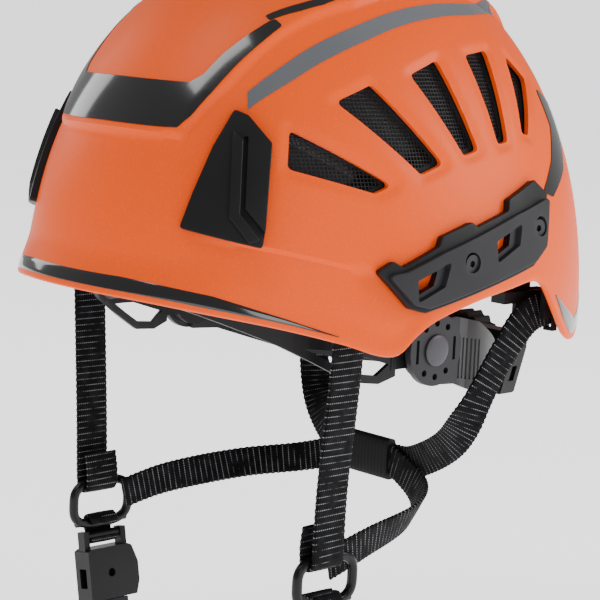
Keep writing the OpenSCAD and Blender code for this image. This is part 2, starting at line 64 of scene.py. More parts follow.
AZIMUTH, ELEVATION, ROLL = (math.radians(d) for d in (47, 9, 2.5))
DISTANCE = 0.9
LENS, SENSOR = 120.9, 36


def make_camera():
    back = Vector((math.sin(AZIMUTH) * math.cos(ELEVATION), -math.cos(AZIMUTH) * math.cos(ELEVATION),
                   math.sin(ELEVATION)))
    right = Vector((math.cos(AZIMUTH), math.sin(AZIMUTH), 0))
    up = back.cross(right)
    rolled_right = right * math.cos(ROLL) + up * math.sin(ROLL)
    rolled_up = up * math.cos(ROLL) - right * math.sin(ROLL)
    data = bpy.data.cameras.new("camera")
    data.lens, data.sensor_width = LENS, SENSOR
    data.clip_start, data.clip_end = 0.05, 1000
    cam = bpy.data.objects.new("camera", data)
    bpy.context.scene.collection.objects.link(cam)
    cam.matrix_world = Matrix.Translation(back * DISTANCE) @ Matrix(
        (rolled_right, rolled_up, back)).transposed().to_4x4()
    bpy.context.scene.camera = cam


make_camera()

# ---------------------------------------------------------------- the shell's surface

MID_Y = 10 * MM  # station of the widest section
N_UP, N_PLAN = 2.08, 2.15  # roundness from rim to crown, and in plan
WALL = 3 * MM
LIP = 1.5 * MM  # radius of the shell's rounded rim
ARCH_Z = 16 * MM  # height of the rim at the widest section
BRIM_OUT = 5 * MM  # forward flare of the brim
SIDES = (("left", 1), ("right", -1))  # the wearer's side, and the sign of X there
shell_lo, shell_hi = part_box("outer_shell")
CROWN_Z = shell_hi.z


def close_in(z):
    """How far the section has closed in at height z."""
    up = np.clip(np.asarray(z, float) / CROWN_Z, 0, 1)
    return (1 - up**N_UP) ** (1 / N_UP)


HALF_W = shell_hi.x / float(close_in(ARCH_Z))
REAR = shell_hi.y - MID_Y
FRONT = MID_Y - shell_lo.y - BRIM_OUT + 0.5 * MM


def spow(v, e):
    return np.sign(v) * np.abs(v) ** e


def smooth(t):
    t = np.clip(t, 0, 1)
    return t * t * (3 - 2 * t)


def flare(a, z):
    return BRIM_OUT * smooth((32 * MM - z) / (20 * MM)) * smooth((-np.sin(a) - 0.5) / 0.45)


def shell_point(a, z):
    """A point of the shell's surface at plan angle a and height z."""
    k = close_in(z)
    b = np.where(np.sin(a) < 0, FRONT, REAR) + flare(a, z)
    return np.stack([HALF_W * k * spow(np.cos(a), 2 / N_PLAN),
                     MID_Y + b * k * spow(np.sin(a), 2 / N_PLAN), z + 0 * a], -1)


def solid_function(p):
    """Below 0 inside the plain shell shape and above 0 outside."""
    x, y, z = p[..., 0], p[..., 1] - MID_Y, np.maximum(p[..., 2], 0)
    b = np.where(y < 0, FRONT, REAR)
    plan = (np.abs(x) / HALF_W) ** N_PLAN + (np.abs(y) / b) ** N_PLAN
    return plan ** (N_UP / N_PLAN) + (z / CROWN_Z) ** N_UP - 1


def normal_at(p):
    """The shell's outward normal at points of its surface."""
    e = 0.2 * MM
    g = np.stack([solid_function(p + e * d) - solid_function(p - e * d) for d in np.eye(3)], -1)
    return g / np.maximum(np.linalg.norm(g, axis=-1, keepdims=True), 1e-9)


def curve(points, n=4):
    """A smooth curve through points, n steps a span."""
    p = np.array(points, float)
    out = []
    for i in range(len(p) - 1):
        a, b, c, d = p[max(0, i - 1)], p[i], p[i + 1], p[min(len(p) - 1, i + 2)]
        for s in range(n):
            t = s / n
            out.append(0.5 * (2 * b + t * (c - a) + t * t * (2 * a - 5 * b + 4 * c - d)
                              + t**3 * (3 * b - a - 3 * c + d)))
    out.append(p[-1])
    return np.array(out)


# outlines in millimetres, side view [y, z] or top view [x, y]
RIM = curve([[-150, 17], [-128, 15], [-107, 11], [-84, 6], [-62, 0], [-47, -5], [-38, -5], [-30, 2],
             [-20, 8], [0, 14], [22, 18], [38, 20], [47, 17], [58, 5], [70, -6], [82, -11], [93, -9],
             [106, -2], [122, 3], [150, 4]], 6) * MM
VENTS = [
    [[-77, 68], [-73, 83], [-38, 62], [-46, 59]],
    [[-54, 94], [-37, 101], [-12, 70], [-24, 66]],
    [[-18, 105], [-1, 111], [9, 75], [0, 73]],
    [[17, 113], [33, 115], [29, 78], [22, 77]],
    [[48, 113], [60, 103], [46, 80], [41, 81]],
]
PANEL = [[0, -130], [40, -130], [38, -101], [45, -85], [49, -62], [55, -30], [56, 10], [49, 56], [30, 92],
         [0, 100]]
PANEL = PANEL + [[-x, y] for x, y in PANEL[-2:0:-1]]


def rim_z(y):
    return np.interp(y, RIM[:, 0], RIM[:, 1])


def outline_distance(u, v, outline):
    """Signed distance from points to a closed outline, above 0 inside. Millimetres in, millimetres out."""
    q = np.array(outline, float)
    far = np.full(np.shape(u), 1e9)
    inside = np.zeros(np.shape(u), bool)
    for (x0, y0), (x1, y1) in zip(q, np.roll(q, -1, 0)):
        dx, dy = x1 - x0, y1 - y0
        t = np.clip(((u - x0) * dx + (v - y0) * dy) / (dx * dx + dy * dy), 0, 1)
        far = np.minimum(far, np.hypot(u - x0 - t * dx, v - y0 - t * dy))
        cross = (y0 > v) != (y1 > v)
        inside ^= cross & (u < x0 + (v - y0) * dx / np.where(dy == 0, 1e-9, dy))
    return np.where(inside, far, -far)


def relief(p):
    """How far the real surface stands off the plain shape: crown panel, side step and vent edges."""
    x, y, z = p[..., 0] / MM, p[..., 1] / MM, p[..., 2] / MM
    edge = np.minimum(outline_distance(x, y, PANEL), np.where(y < 0, 0.75 * (z - 79.5), 99))
    h = 2.6 * smooth(edge / 2.4 + 1)
    step = 37 - 0.21 * (y + 88)
    along = smooth((y + 112) / 20) * smooth((15 - y) / 50)
    h -= 1.5 * smooth((step - z) / 1.6 + 0.5) * along * smooth((z - rim_z(p[..., 1]) / MM) / 10)
    for v in VENTS:
        h -= 1.1 * smooth(outline_distance(y, z, v) / 3.2 + 1.15)
    return h * MM


VIEWS = {
    "side": ((0, 1, 0), (0, 0, 1), (1, 0, 0)),
    "top": ((1, 0, 0), (0, 1, 0), (0, 0, 1)),
    "rear": ((1, 0, 0), (0, 0, 1), (0, 1, 0)),
    "front": ((1, 0, 0), (0, 0, 1), (0, -1, 0)),
    "corner": ((math.cos(AZIMUTH), math.sin(AZIMUTH), 0), (0, 0, 1),
               (math.sin(AZIMUTH), -math.cos(AZIMUTH), 0)),
}


def wrap(uvw, view, bridging=False):
    """Flat points (across, up, height), in metres, laid on the shell as seen from one side.

    A bridging part keeps to the plain shape and ignores the shell's relief.
    """
    u_axis, v_axis, out = (np.array(v, float) for v in VIEWS[view])
    base = uvw[:, :1] * u_axis + uvw[:, 1:2] * v_axis
    near, far = np.zeros(len(uvw)), np.full(len(uvw), 0.25)
    for _ in range(40):
        mid = (near + far) / 2
        inside = solid_function(base + mid[:, None] * out) < 0
        near, far = np.where(inside, mid, near), np.where(inside, far, mid)
    p = base + near[:, None] * out
    raised = 0 if bridging else relief(p)
    return p + normal_at(p) * (raised + uvw[:, 2])[:, None]


# ---------------------------------------------------------------- mesh helpers

def make_object(name, verts, faces, mat, smooth_angle=35):
    mesh = bpy.data.meshes.new(name)
    mesh.from_pydata([tuple(v) for v in verts], [], faces)
    return finish_object(name, mesh, mat, smooth_angle)


def finish_object(name, mesh, mat, smooth_angle=35):
    mesh.validate()
    obj = bpy.data.objects.new(name, mesh)
    bpy.context.scene.collection.objects.link(obj)
    if mat:
        mesh.materials.clear()
        mesh.materials.append(mat)
    shade(obj, smooth_angle)
    return obj


def shade(obj, angle=35):
    obj.data.polygons.foreach_set("use_smooth", [True] * len(obj.data.polygons))
    obj.data.set_sharp_from_angle(angle=math.radians(angle))


def apply_modifiers(obj):
    graph = bpy.context.evaluated_depsgraph_get()
    mesh = bpy.data.meshes.new_from_object(obj.evaluated_get(graph))
    obj.modifiers.clear()
    obj.data = mesh
    return obj


def cut(obj, cutters, operation="DIFFERENCE"):
    for c in cutters:
        m = obj.modifiers.new("cut", "BOOLEAN")
        m.operation, m.object, m.solver = operation, c, "MANIFOLD"
    apply_modifiers(obj)
    for c in cutters:
        bpy.data.objects.remove(c)
    return obj


def outward(bm):
    """Faces all round, turned outwards."""
    bmesh.ops.recalc_face_normals(bm, faces=bm.faces)
    if bm.calc_volume(signed=True) < 0:
        bmesh.ops.reverse_faces(bm, faces=bm.faces)
    return bm


def turn_out(obj, angle=35):
    """Turns a closed object's faces outwards and shades it."""
    bm = bmesh.new()
    bm.from_mesh(obj.data)
    outward(bm).to_mesh(obj.data)
    bm.free()
    shade(obj, angle)
    return obj


def weld(obj, dist, closed=True):
    """Joins an object's touching points; a closed one is turned outwards too."""
    bm = bmesh.new()
    bm.from_mesh(obj.data)
    bmesh.ops.remove_doubles(bm, verts=bm.verts, dist=dist * MM)
    if closed:
        outward(bm)
    else:
        bmesh.ops.recalc_face_normals(bm, faces=bm.faces)
    bm.to_mesh(obj.data)
    bm.free()


def grid_faces(rows, cols, start=0, closed=False, flip=False):
    """Four-sided faces between neighbouring rows of points; closed rows join end to end."""
    faces = []
    for j in range(rows - 1):
        for i in range(cols if closed else cols - 1):
            a, b = start + j * cols + i, start + j * cols + (i + 1) % cols
            faces.append((a, b, b + cols, a + cols)[::-1 if flip else 1])
    return faces


def round_corners(points, r, n=4):
    """An outline with its corners rounded by arcs of about radius r."""
    p = [Vector(q) for q in points]
    out = []
    for i, c in enumerate(p):
        a, b = (p[i - 1] - c), (p[(i + 1) % len(p)] - c)
        cut_back = min(r / max(math.tan(a.angle(b) / 2), 0.2), a.length * 0.45, b.length * 0.45)
        s, e = c + a.normalized() * cut_back, c + b.normalized() * cut_back
        for k in range(n + 1):
            t = k / n
            out.append(s * (1 - t) ** 2 + c * 2 * t * (1 - t) + e * t * t)
    return out


def prism(outline, low, high, top_spread=0.0, bevel=0.0):
    """A flat solid from an outline between two heights, in millimetres; its top may spread or be bevelled."""
    bm = bmesh.new()
    pts = [Vector((p[0] * MM, p[1] * MM, low * MM)) for p in outline]
    face = bm.faces.new([bm.verts.new(p) for p in pts])
    bm.normal_update()
    if face.normal.z > 0:
        face.normal_flip()
    made = bmesh.ops.extrude_face_region(bm, geom=[face])
    top = [v for v in made["geom"] if isinstance(v, bmesh.types.BMVert)]
    bmesh.ops.translate(bm, verts=top, vec=(0, 0, (high - low) * MM))
    outward(bm)
    if bevel:
        edges = [e for e in bm.edges if all(v.co.z > (high - 1e-3) * MM for v in e.verts)]
        bmesh.ops.bevel(bm, geom=edges, offset=bevel * MM, segments=3, profile=0.6,
                        affect="EDGES", clamp_overlap=True)
    if top_spread:
        tops = [v for v in bm.verts if v.co.z > (high - 1e-3) * MM]
        centre = sum((v.co for v in tops), Vector()) / len(tops)
        for v in tops:
            v.co.xy = centre.xy + (v.co.xy - centre.xy) * (1 + top_spread)
    return bm


def bm_object(name, bm, mat=None, smooth_angle=35):
    mesh = bpy.data.meshes.new(name)
    bm.to_mesh(mesh)
    bm.free()
    return finish_object(name, mesh, mat, smooth_angle)


def slice_up(bm, step):
    """Cuts a flat part along a grid of lines, so that it can bend."""
    for axis in (0, 1):
        lo, hi = min(v.co[axis] for v in bm.verts), max(v.co[axis] for v in bm.verts)
        normal = Vector((axis == 0, axis == 1, 0))
        for k in range(1, int((hi - lo) / step) + 1):
            at = normal * (lo + k * step)
            geom = bm.verts[:] + bm.edges[:] + bm.faces[:]
            bmesh.ops.bisect_plane(bm, geom=geom, plane_co=at, plane_no=normal)


def wrapped(name, bm, view, mat, step=3, mirror=False, smooth_angle=30, bridging=False):
    """A flat part, bent onto the shell."""
    slice_up(bm, step * MM)
    co = np.array([v.co for v in bm.verts])
    for v, p in zip(bm.verts, wrap(co, view, bridging)):
        v.co = p
    if mirror:
        for v in bm.verts:
            v.co.x = -v.co.x
    outward(bm)
    return bm_object(name, bm, mat, smooth_angle)


def to_bmesh(obj):
    bm = bmesh.new()
    bm.from_mesh(obj.data)
    bpy.data.objects.remove(obj)
    return bm


def bevel_cad(node, width):
    """Softens a shown CAD node's edges, by a width in millimetres, and its shading."""
    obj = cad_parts[node]
    shade(obj)
    m = obj.modifiers.new("soft_edges", "BEVEL")
    m.width, m.segments = width * MM, 2
    m.limit_method, m.angle_limit = "ANGLE", math.radians(40)
    m.use_clamp_overlap = True
    return obj


# ---------------------------------------------------------------- materials

class Finish:
    """A procedural material, built up a layer at a time."""

    def __init__(self, name, color, rough, coat=0.0, sheen=0.0, specular=0.5):
        self.mat = bpy.data.materials.new(name)
        self.mat.use_nodes = True
        self.nodes, self.links = self.mat.node_tree.nodes, self.mat.node_tree.links
        self.bsdf = self.nodes["Principled BSDF"]
        for socket, value in (("Base Color", (*color, 1)), ("Roughness", rough), ("Coat Weight", coat),
                              ("Coat Roughness", 0.15), ("Sheen Weight", sheen),
                              ("Specular IOR Level", specular)):
            self.bsdf.inputs[socket].default_value = value
        self.color = color
        self.coord = self.node("ShaderNodeTexCoord").outputs["Object"]
        self.color_out, self.bump_out = None, None

    def node(self, kind, **values):
        n = self.nodes.new(kind)
        for k, v in values.items():
            if k in n.inputs:
                n.inputs[k].default_value = v
            else:
                setattr(n, k, v)
        return n

    def noise(self, scale, detail=2.0):
        n = self.node("ShaderNodeTexNoise", Scale=scale, Detail=detail)
        self.links.new(self.coord, n.inputs["Vector"])
        return n.outputs["Fac"]

    def math(self, op, a, b=None):
        n = self.node("ShaderNodeMath", operation=op)
        for i, v in enumerate((a, b)):
            if v is None:
                continue
            if isinstance(v, (int, float)):
                n.inputs[i].default_value = v
            else:
                self.links.new(v, n.inputs[i])
        return n.outputs[0]

    def between(self, fac, lo, hi):
        n = self.node("ShaderNodeMapRange")
        for i, v in zip((1, 2), (lo, hi)):
            n.inputs[i].default_value = v
        self.links.new(fac, n.inputs[0])
        return n.outputs[0]

    def blend(self, fac, color):
        """Mixes a colour in, by a factor."""
        n = self.node("ShaderNodeMix", data_type="RGBA")
        self.links.new(fac, n.inputs[0])
        if self.color_out:
            self.links.new(self.color_out, n.inputs[6])
        else:
            n.inputs[6].default_value = (*self.color, 1)
        n.inputs[7].default_value = (*color, 1)
        self.color_out = n.outputs[2]
        return self

    def mottle(self, scale, color, lo=0.4, hi=0.7):
        """Patches of another colour, by a noise."""
        return self.blend(self.between(self.noise(scale), lo, hi), color)

    def rough_by(self, fac, lo, hi):
        n = self.node("ShaderNodeMapRange")
        n.inputs[3].default_value, n.inputs[4].default_value = lo, hi
        self.links.new(fac, n.inputs[0])
        self.links.new(n.outputs[0], self.bsdf.inputs["Roughness"])
        return self

    def bump(self, height, strength, distance):
        n = self.node("ShaderNodeBump", Strength=strength, Distance=distance)
        self.links.new(height, n.inputs["Height"])
        if self.bump_out:
            self.links.new(self.bump_out, n.inputs["Normal"])
        self.bump_out = n.outputs["Normal"]
        return self

    def painted_edge_highlight(self, color, amount):
        """Painted highlight: a little lighter along the convex edges."""
        edge = self.between(self.node("ShaderNodeNewGeometry").outputs["Pointiness"], 0.52, 0.62)
        return self.blend(self.math("MULTIPLY", edge, amount), color)

    def done(self):
        if self.color_out:
            self.links.new(self.color_out, self.bsdf.inputs["Base Color"])
        if self.bump_out:
            self.links.new(self.bump_out, self.bsdf.inputs["Normal"])
        return self.mat


def srgb(r, g, b):
    return tuple(c / 12.92 / 255 if c < 11 else ((c / 255 + 0.055) / 1.055) ** 2.4 for c in (r, g, b))


def satin_paint(name, color, deep, rough):
    f = Finish(name, color, rough, specular=0.16)
    f.mottle(6, deep, 0.35, 0.9)
    f.mottle(1500, tuple(min(1, c * 1.12) for c in color), 0.55, 0.75)
    f.rough_by(f.noise(40), rough - 0.05, rough + 0.07)
    f.bump(f.noise(1700, 1), 0.10, 0.00006)
    return f.done()


def moulded(name, color, rough, grain=1200, depth=0.15):
    f = Finish(name, color, rough, specular=0.22)
    f.mottle(25, tuple(c * 1.4 + 0.001 for c in color), 0.45, 0.8)
    # painted highlight: the convex edges are lightened in the colour
    f.painted_edge_highlight(tuple(c * 3 + 0.008 for c in color), 0.3)
    f.rough_by(f.noise(60), rough - 0.06, rough + 0.08)
    f.bump(f.noise(grain, 2), depth, 0.00008)
    return f.done()


def gloss(name, color, rough=0.06):
    f = Finish(name, color, rough, coat=0.6)
    f.mottle(9, tuple(c * 1.6 for c in color), 0.4, 0.8)
    f.rough_by(f.noise(30), rough, rough + 0.05)
    f.bump(f.noise(60, 1), 0.04, 0.0002)
    return f.done()


THREAD_PITCH = 2.8  # between the silver threads of the webbing, in millimetres


def webbing(name):
    """Flat woven webbing, with silver threads across it. Its UV is (along, across) in metres."""
    f = Finish(name, srgb(7, 7, 9), 0.8, sheen=0.03, specular=0.1)
    uv = f.node("ShaderNodeUVMap", uv_map="web").outputs["UV"]
    split = f.node("ShaderNodeSeparateXYZ")
    f.links.new(uv, split.inputs[0])
    along, across = split.outputs[0], split.outputs[1]
    saw = f.math("FRACT", f.math("MULTIPLY", along, 1 / (THREAD_PITCH * MM)))
    ridge = f.math("ABSOLUTE", f.math("SUBTRACT", saw, 0.5))
    line = f.between(ridge, 0.42, 0.46)
    broken = f.between(f.noise(160, 3), 0.36, 0.56)
    stitches = f.between(f.math("SINE", f.math("MULTIPLY", across, 2 * math.pi / (1.1 * MM))), -0.7, 0.2)
    silver = f.math("MULTIPLY", f.math("MULTIPLY", line, broken), stitches)
    f.mottle(220, srgb(22, 22, 25), 0.45, 0.7)
    f.blend(f.math("MULTIPLY", silver, 0.6), srgb(176, 178, 182))
    weave = f.math("MULTIPLY", f.math("SINE", f.math("MULTIPLY", along, 2 * math.pi / (0.7 * MM))),
                   f.math("SINE", f.math("MULTIPLY", across, 2 * math.pi / (0.9 * MM))))
    f.bump(weave, 0.5, 0.00012)
    f.bump(line, 0.35, 0.0002)
    return f.done()


def knit(name, color):
    f = Finish(name, color, 0.9, sheen=0.15)
    f.mottle(300, tuple(c * 2 + 0.01 for c in color), 0.4, 0.75)
    w = f.node("ShaderNodeTexVoronoi", Scale=700)
    f.links.new(f.coord, w.inputs["Vector"])
    f.bump(w.outputs["Distance"], 0.5, 0.0003)
    return f.done()


def foam(name, color):
    f = Finish(name, color, 0.85)
    w = f.node("ShaderNodeTexVoronoi", Scale=260)
    f.links.new(f.coord, w.inputs["Vector"])
    f.mottle(120, tuple(c * 1.6 for c in color), 0.4, 0.7)
    f.bump(w.outputs["Distance"], 0.5, 0.0006)
    return f.done()


ORANGE = satin_paint("shell_paint", (0.92, 0.095, 0.0), (0.84, 0.072, 0.0), 0.42)
BLACK_GLOSS = gloss("gloss_black", srgb(8, 8, 9))
REFLECTIVE = gloss("reflective_grey", srgb(86, 88, 92), 0.16)
CLIP_BLACK = moulded("clip_black", srgb(16, 16, 18), 0.48, 1500, 0.2)
RAIL_GREY = moulded("rail_charcoal", srgb(36, 36, 38), 0.52, 900, 0.25)
BLACK = moulded("harness_black", srgb(15, 15, 17), 0.42)
DISC_GREY = moulded("disc_charcoal", srgb(26, 26, 29), 0.42)
CAP_GREY = moulded("cap_grey", srgb(66, 66, 70), 0.35)
BUCKLE = moulded("buckle_black", srgb(16, 16, 18), 0.38)
RING_GLOSS = moulded("divider_black", srgb(14, 14, 16), 0.25)
RUBBER = moulded("soft_grip", srgb(14, 14, 15), 0.7, 500, 0.3)
NATURAL = moulded("natural_grey", srgb(120, 120, 124), 0.45)
MESH_BLACK = moulded("mesh_black", srgb(24, 24, 26), 0.5)
WEB = webbing("web_black")
KNIT = knit("pad_knit", srgb(22, 22, 25))
FOAM = foam("liner_foam", srgb(14, 14, 15))
STEEL = moulded("steel", srgb(150, 150, 155), 0.3)
OXIDE = moulded("black_oxide", srgb(30, 30, 32), 0.35)

# ---------------------------------------------------------------- shell and liner


def vent_cutters(grow=0.0, from_x=40):
    """Blocks that cut the vents, from from_x outwards on both sides; grow widens them. Millimetres."""
    made = []
    for v in VENTS:
        c = np.mean(v, axis=0)
        pts = [c + (np.array(q) - c) * (1 + grow / max(np.linalg.norm(np.array(q) - c), 1)) for q in v]
        pts = round_corners(pts, 2.2)
        for s in (1, -1):
            bm = prism(pts, from_x, 150)
            for w in bm.verts:
                w.co = Vector((s * w.co.z, w.co.x, w.co.y))
            outward(bm)
            made.append(bm_object("cutter", bm))
    return made


def domed_skin(name, rings, tips, mat):
    """A closed skin over rings of points, with a tip at each end."""
    verts = np.concatenate(rings)
    n, cols = len(verts), len(rings[0])
    faces = grid_faces(len(rings), cols, closed=True)
    faces += [(i, n, (i + 1) % cols) for i in range(cols)]
    faces += [(n - cols + i, n - cols + (i + 1) % cols, n + 1) for i in range(cols)]
    return turn_out(make_object(name, np.vstack([verts, tips]), faces, mat))


def make_shell():
    """The hard shell: outer face, rounded rim and inner face on one grid, whose rows follow the rim."""
    cols, outer, inner, bend = 360, 130, 50, 6
    a = np.linspace(0, 2 * np.pi, cols, endpoint=False)
    low = rim_z(shell_point(a, 0 * a)[:, 1])
    rows = []

    def row(z, off, raised=False):
        p = shell_point(a, z)
        stand = np.full(cols, off) + (relief(p) if raised else 0)
        rows.append(p + normal_at(p) * stand[:, None])

    def height(t):
        s = math.sin(math.pi / 2 * t) ** (2 / N_UP)
        return low * (1 - s) + (CROWN_Z - 0.01 * MM) * s + LIP * (1 - s)

    for k in range(inner, -1, -1):
        row(height(k / inner * 0.995), -WALL)
    for k in range(1, bend):
        t = math.pi * k / bend
        row(low + LIP - LIP * math.sin(t), -WALL / 2 - WALL / 2 * math.cos(t))
    for k in range(outer + 1):
        row(height(k / outer * 0.997), 0, raised=True)
    tips = [[0, MID_Y, CROWN_Z - WALL], [0, MID_Y, CROWN_Z + 2.2 * MM]]
    obj = domed_skin("shell", rows, tips, ORANGE)
    cut(obj, vent_cutters())
    shade(obj, 32)
    return obj


def put(obj, body, node, *more):
    """Attaches a finished piece to its body, in place of a CAD node."""
    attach(obj, body)
    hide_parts(node, *more)
    return obj


put(make_shell(), "helmet", "outer_shell")


def make_liner():
    """Foam liner: a plain inner and outer dome, with the vents' channels through it."""
    cols, rows, gap, thick, low = 160, 44, 4.2 * MM, 14 * MM, 34 * MM
    a = np.linspace(0, 2 * np.pi, cols, endpoint=False)
    rings = []
    for face, order in ((gap + thick, range(rows, -1, -1)), (gap, range(rows + 1))):
        for k in order:
            t = math.sin(math.pi / 2 * k / rows * 0.99) ** (2 / N_UP)
            soft = 3 * MM * (1 - smooth(k / 3)) * (1 if face == gap else -1)
            p = shell_point(a, 0 * a + low * (1 - t) + CROWN_Z * t)
            rings.append(p - normal_at(p) * (face + soft))
    tips = [[0, MID_Y, CROWN_Z - gap - thick], [0, MID_Y, CROWN_Z - gap]]
    obj = domed_skin("foam_liner_skin", rings, tips, FOAM)
    cut(obj, vent_cutters(-1.5, 20))
    shade(obj, 40)
    return obj


put(make_liner(), "helmet", "foam_liner")


def make_vent_mesh(name, sign):
    """The screens behind one side's vents: a square lattice of wires."""
    pitch, wire, verts, faces = 1.55, 0.42, [], []
    for v in VENTS:
        lo, hi = np.min(v, 0) - 4, np.max(v, 0) + 4
        for y in np.arange(lo[0], hi[0], pitch):
            for z in np.arange(lo[1], hi[1], pitch):
                if outline_distance(np.array(y + pitch / 2), np.array(z + pitch / 2), v) < -2.4:
                    continue
                n = len(verts)
                for d in (0, wire / 2):
                    verts += [(y + d, z + d), (y + pitch - d, z + d), (y + pitch - d, z + pitch - d),
                              (y + d, z + pitch - d)]
                faces += [(n + k, n + (k + 1) % 4, n + 4 + (k + 1) % 4, n + 4 + k) for k in range(4)]
    flat = np.array(verts) * MM
    flat = np.column_stack([flat, np.full(len(flat), -3.5 * MM)])
    p = wrap(flat, "side")
    p[:, 0] *= sign
    obj = make_object("vent_screen_" + name, p, faces, MESH_BLACK)
    weld(obj, 0.02, closed=False)
    m = obj.modifiers.new("wire", "SOLIDIFY")
    m.thickness = 0.35 * MM
    return obj


for name, sign in SIDES:
    put(make_vent_mesh(name, sign), "helmet", "vent_mesh_" + name)

# ---------------------------------------------------------------- trims on the shell


def strip_solid(name, top, bottom, mat, smooth_angle=40):
    """A closed strip from two matching grids of points (rows, columns, xyz)."""
    rows, cols = top.shape[:2]
    n = rows * cols
    faces = grid_faces(rows, cols) + grid_faces(rows, cols, n, flip=True)
    ring = ([(0, i) for i in range(cols)] + [(j, cols - 1) for j in range(1, rows)]
            + [(rows - 1, i) for i in range(cols - 2, -1, -1)] + [(j, 0) for j in range(rows - 2, 0, -1)])
    idx = [j * cols + i for j, i in ring]
    faces += [(idx[k], n + idx[k], n + idx[(k + 1) % len(idx)], idx[(k + 1) % len(idx)])
              for k in range(len(idx))]
    obj = make_object(name, np.vstack([top.reshape(-1, 3), bottom.reshape(-1, 3)]), faces, mat, smooth_angle)
    return turn_out(obj, smooth_angle)


def rim_band(name, angles, low, high, mat):
    """A gloss band along the rim, between two heights given over the station y, in millimetres."""
    rows = 8
    y = shell_point(angles, 0 * angles)[:, 1] / MM
    lo, hi = (np.interp(y, *np.array(line, float).T) for line in (low, high))
    grids = []
    for w in (0.35, -0.6):
        grid = []
        for k in range(rows + 1):
            t = k / rows
            z = (lo * (1 - t) + hi * t) * MM
            edge = 0.25 * (abs(2 * t - 1) ** 6) if w > 0 else 0
            p = shell_point(angles, z)
            grid.append(p + normal_at(p) * (relief(p) + (w - edge) * MM)[:, None])
        grids.append(np.array(grid))
    return strip_solid(name, *grids, mat)


def angle_at(y):
    """Plan angle of the near side's point at station y, in millimetres."""
    b = FRONT if y * MM < MID_Y else REAR
    s = spow(np.clip((y * MM - MID_Y) / b, -1, 1), N_PLAN / 2)
    return math.asin(float(np.clip(s, -1, 1)))


def trim(name, outline, view, mat, step=3, sign=1, proud=0.35):
    """A thin trim let into the shell, from an outline in millimetres."""
    return wrapped(name, prism(outline, -0.8, proud), view, mat, step, sign < 0)


front_arc = np.linspace(-math.pi - angle_at(-64), angle_at(-64), 240)
brim_low = [(y / MM, z / MM + 2.7) for y, z in RIM if y < -60 * MM]
brim_high = [(-150, 24), (-128, 23), (-107, 18.6), (-84, 10.8), (-64, 3.6)]
put(rim_band("brim_gloss", front_arc, brim_low, brim_high, BLACK_GLOSS), "helmet", "brim_trim")
rear_arc = np.linspace(angle_at(57), math.pi - angle_at(57), 240)
nape_low = [(57, 12), (66, 1), (76, -6.5), (82, -8), (93, -5.5), (106, 1), (122, 6.5), (150, 8)]
nape_high = [(57, 12.6), (68, 6), (82, -1), (88, 0), (97, 5), (110, 11), (122, 13.5), (150, 15)]
put(rim_band("nape_gloss", rear_arc, nape_low, nape_high, BLACK_GLOSS), "helmet", "nape_trim")

U_FRONT = [[0, 81], [30, 80.6], [36.4, 80.8], [39.5, 85.7], [42.8, 96], [45.2, 107], [47.2, 115], [48.4, 121],
           [44.5, 123.6], [41.7, 117.3], [38.5, 109.6], [36.3, 101.1], [32.8, 97.8], [0, 98.2]]
U_SIDE = [[43.7, -63.7], [48.7, -52.2], [51.6, -43], [53, -32.6], [54.5, -10], [54, 15], [49, 46], [47, 45],
          [51.5, 15], [52, -10], [50.7, -32], [49.3, -42], [46.6, -50.4], [41.2, -64.2]]
crown_u = U_FRONT + [[-x, z] for x, z in U_FRONT[-2:0:-1]]
crown_front = trim("crown_gloss", round_corners(crown_u, 1.2, 3), "front", BLACK_GLOSS, 2.5)
put(crown_front, "helmet", "crown_trim")
for name, sign in SIDES:
    line = trim("crown_line_" + name, round_corners(U_SIDE, 0.6, 2), "top", BLACK_GLOSS, sign=sign)
    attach(line, "helmet")

ARC = np.vstack([curve([[55.5, -84], [63, -62], [67.5, -25], [63, 30], [50, 62]], 8),
                 curve([[46, 60], [58.5, 30], [62.5, -25], [58, -62], [52.5, -82]], 8)])
REAR_TRIM = [[67, 99], [84, 92], [88, 80], [76, 64], [58, 54], [49, 56.5], [62, 69], [71, 83]]
for name, sign in SIDES:
    put(trim("arc_gloss_" + name, ARC, "top", REFLECTIVE, sign=sign, proud=0.3),
        "helmet", "arc_trim_" + name)
    put(trim("rear_gloss_" + name, round_corners(REAR_TRIM, 1.5), "side", BLACK_GLOSS, sign=sign),
        "helmet", "rear_trim_" + name)

# ---------------------------------------------------------------- lamp clips and rails

CLIP = [[-28.5, 89], [-23, 87], [-13.5, 77], [-14.5, 45], [-15.5, 37.5], [-47.5, 43.5], [-43, 57], [-36, 75]]
CLIP_SLOT = [[-24.4, 79], [-22.6, 79], [-22.6, 52], [-13, 41.5], [-13, 39.6], [-24.4, 50]]
TONGUE = [[-28.4, 81], [-24.4, 77], [-24.4, 50], [-16.5, 40.5], [-20.5, 39], [-28.4, 48.5]]


def make_clip(name, mirror):
    """A front corner clip: a plate with a slot and a raised tongue beside it."""
    plate = bm_object("plate", prism(round_corners(CLIP, 1.4), -0.5, 3.0, bevel=0.5))
    slot = bm_object("slot", prism(round_corners(CLIP_SLOT, 0.3, 2), 0.9, 6))
    cut(plate, [slot])
    tongue = bm_object("tongue", prism(round_corners(TONGUE, 0.8, 3), 1.0, 5.2, bevel=1.3))
    cut(plate, [tongue], "UNION")
    return wrapped("lamp_clip_body_" + name, to_bmesh(plate), "corner", CLIP_BLACK, 2.5, mirror,
                   bridging=True)


